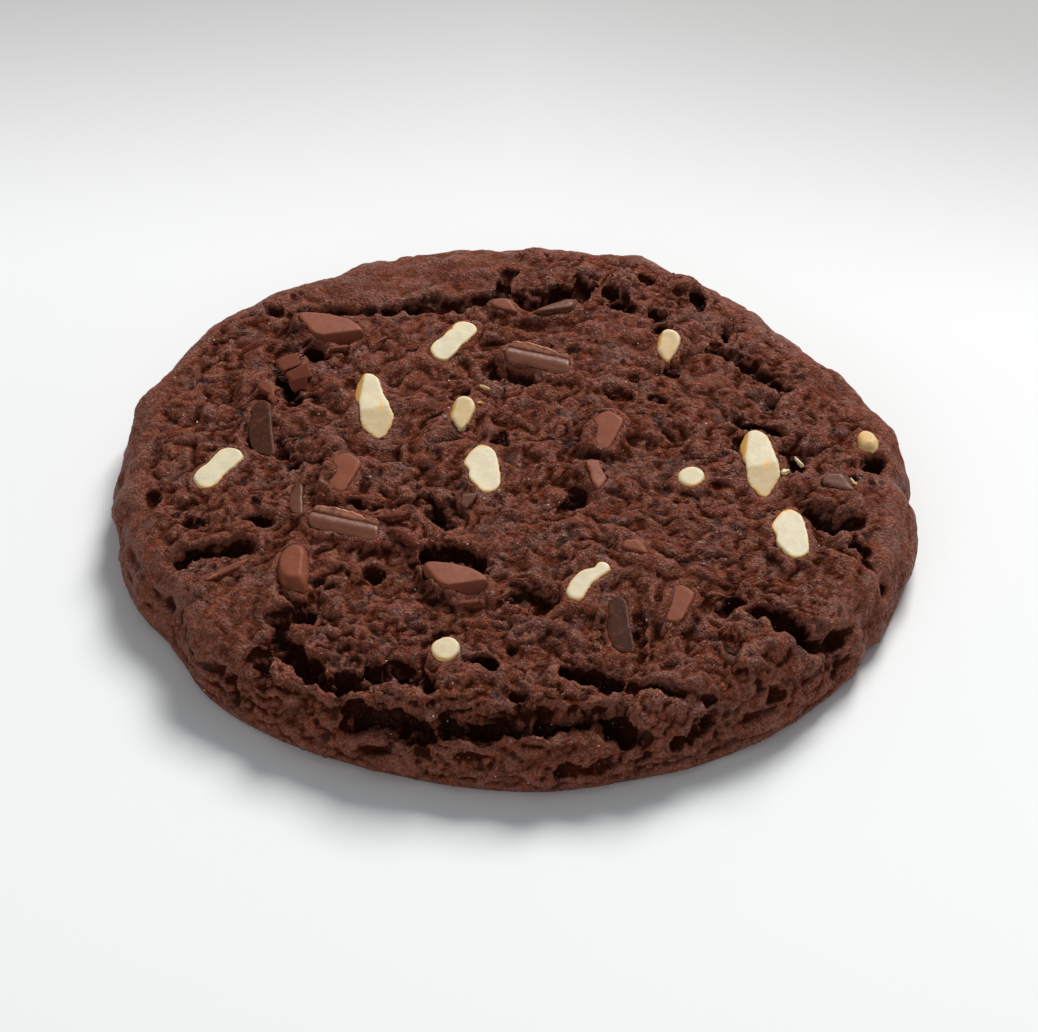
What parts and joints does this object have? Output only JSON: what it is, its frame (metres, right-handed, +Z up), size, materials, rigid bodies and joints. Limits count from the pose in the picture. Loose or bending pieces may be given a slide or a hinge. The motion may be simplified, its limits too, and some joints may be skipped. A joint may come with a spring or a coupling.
{
  "type": "triple chocolate cookie",
  "caption": "Thick round cocoa cookie with a cracked, crumbly top and pieces of white, milk and dark chocolate set in it.",
  "frame": {"origin": "middle of the flat base, on the surface that the cookie lies on", "axes": "+Z up through the thickness, -Y towards the side that faces the viewer in the picture"},
  "size_m": [0.0904, 0.0905, 0.013],
  "materials": {
    "cocoa_dough": "matte baked cocoa crumb, dark brown, with a duller paler bloom on the smooth crust",
    "white_chocolate": "satin ivory chocolate with pale caramel edges where it has browned",
    "milk_chocolate": "satin reddish brown chocolate with soft highlights",
    "dark_chocolate": "dark brown chocolate, smooth and slightly glossy on its broken faces"
  },
  "bodies": {
    "root": {"dough": "cocoa_dough", "white_chunk_01": "white_chocolate", "white_chunk_02": "white_chocolate", "white_chunk_03": "white_chocolate", "white_chunk_04": "white_chocolate", "white_chunk_05": "white_chocolate", "white_chunk_06": "white_chocolate", "white_chunk_07": "white_chocolate", "white_chunk_08": "white_chocolate", "white_chunk_09": "white_chocolate", "white_chunk_10": "white_chocolate", "white_chunk_11": "white_chocolate", "white_chunk_12": "white_chocolate", "milk_chunk_01": "milk_chocolate", "milk_chunk_02": "milk_chocolate", "milk_chunk_03": "milk_chocolate", "milk_chunk_04": "milk_chocolate", "milk_chunk_05": "milk_chocolate", "milk_chunk_06": "milk_chocolate", "milk_chunk_07": "milk_chocolate", "milk_chunk_08": "milk_chocolate", "milk_chunk_09": "milk_chocolate", "milk_chunk_10": "milk_chocolate", "dark_chunk_01": "dark_chocolate", "dark_chunk_02": "dark_chocolate", "dark_chunk_03": "dark_chocolate", "dark_chunk_04": "dark_chocolate", "dark_chunk_05": "dark_chocolate", "dark_chunk_06": "dark_chocolate", "dark_chunk_07": "dark_chocolate"}
  },
  "joints": []
}
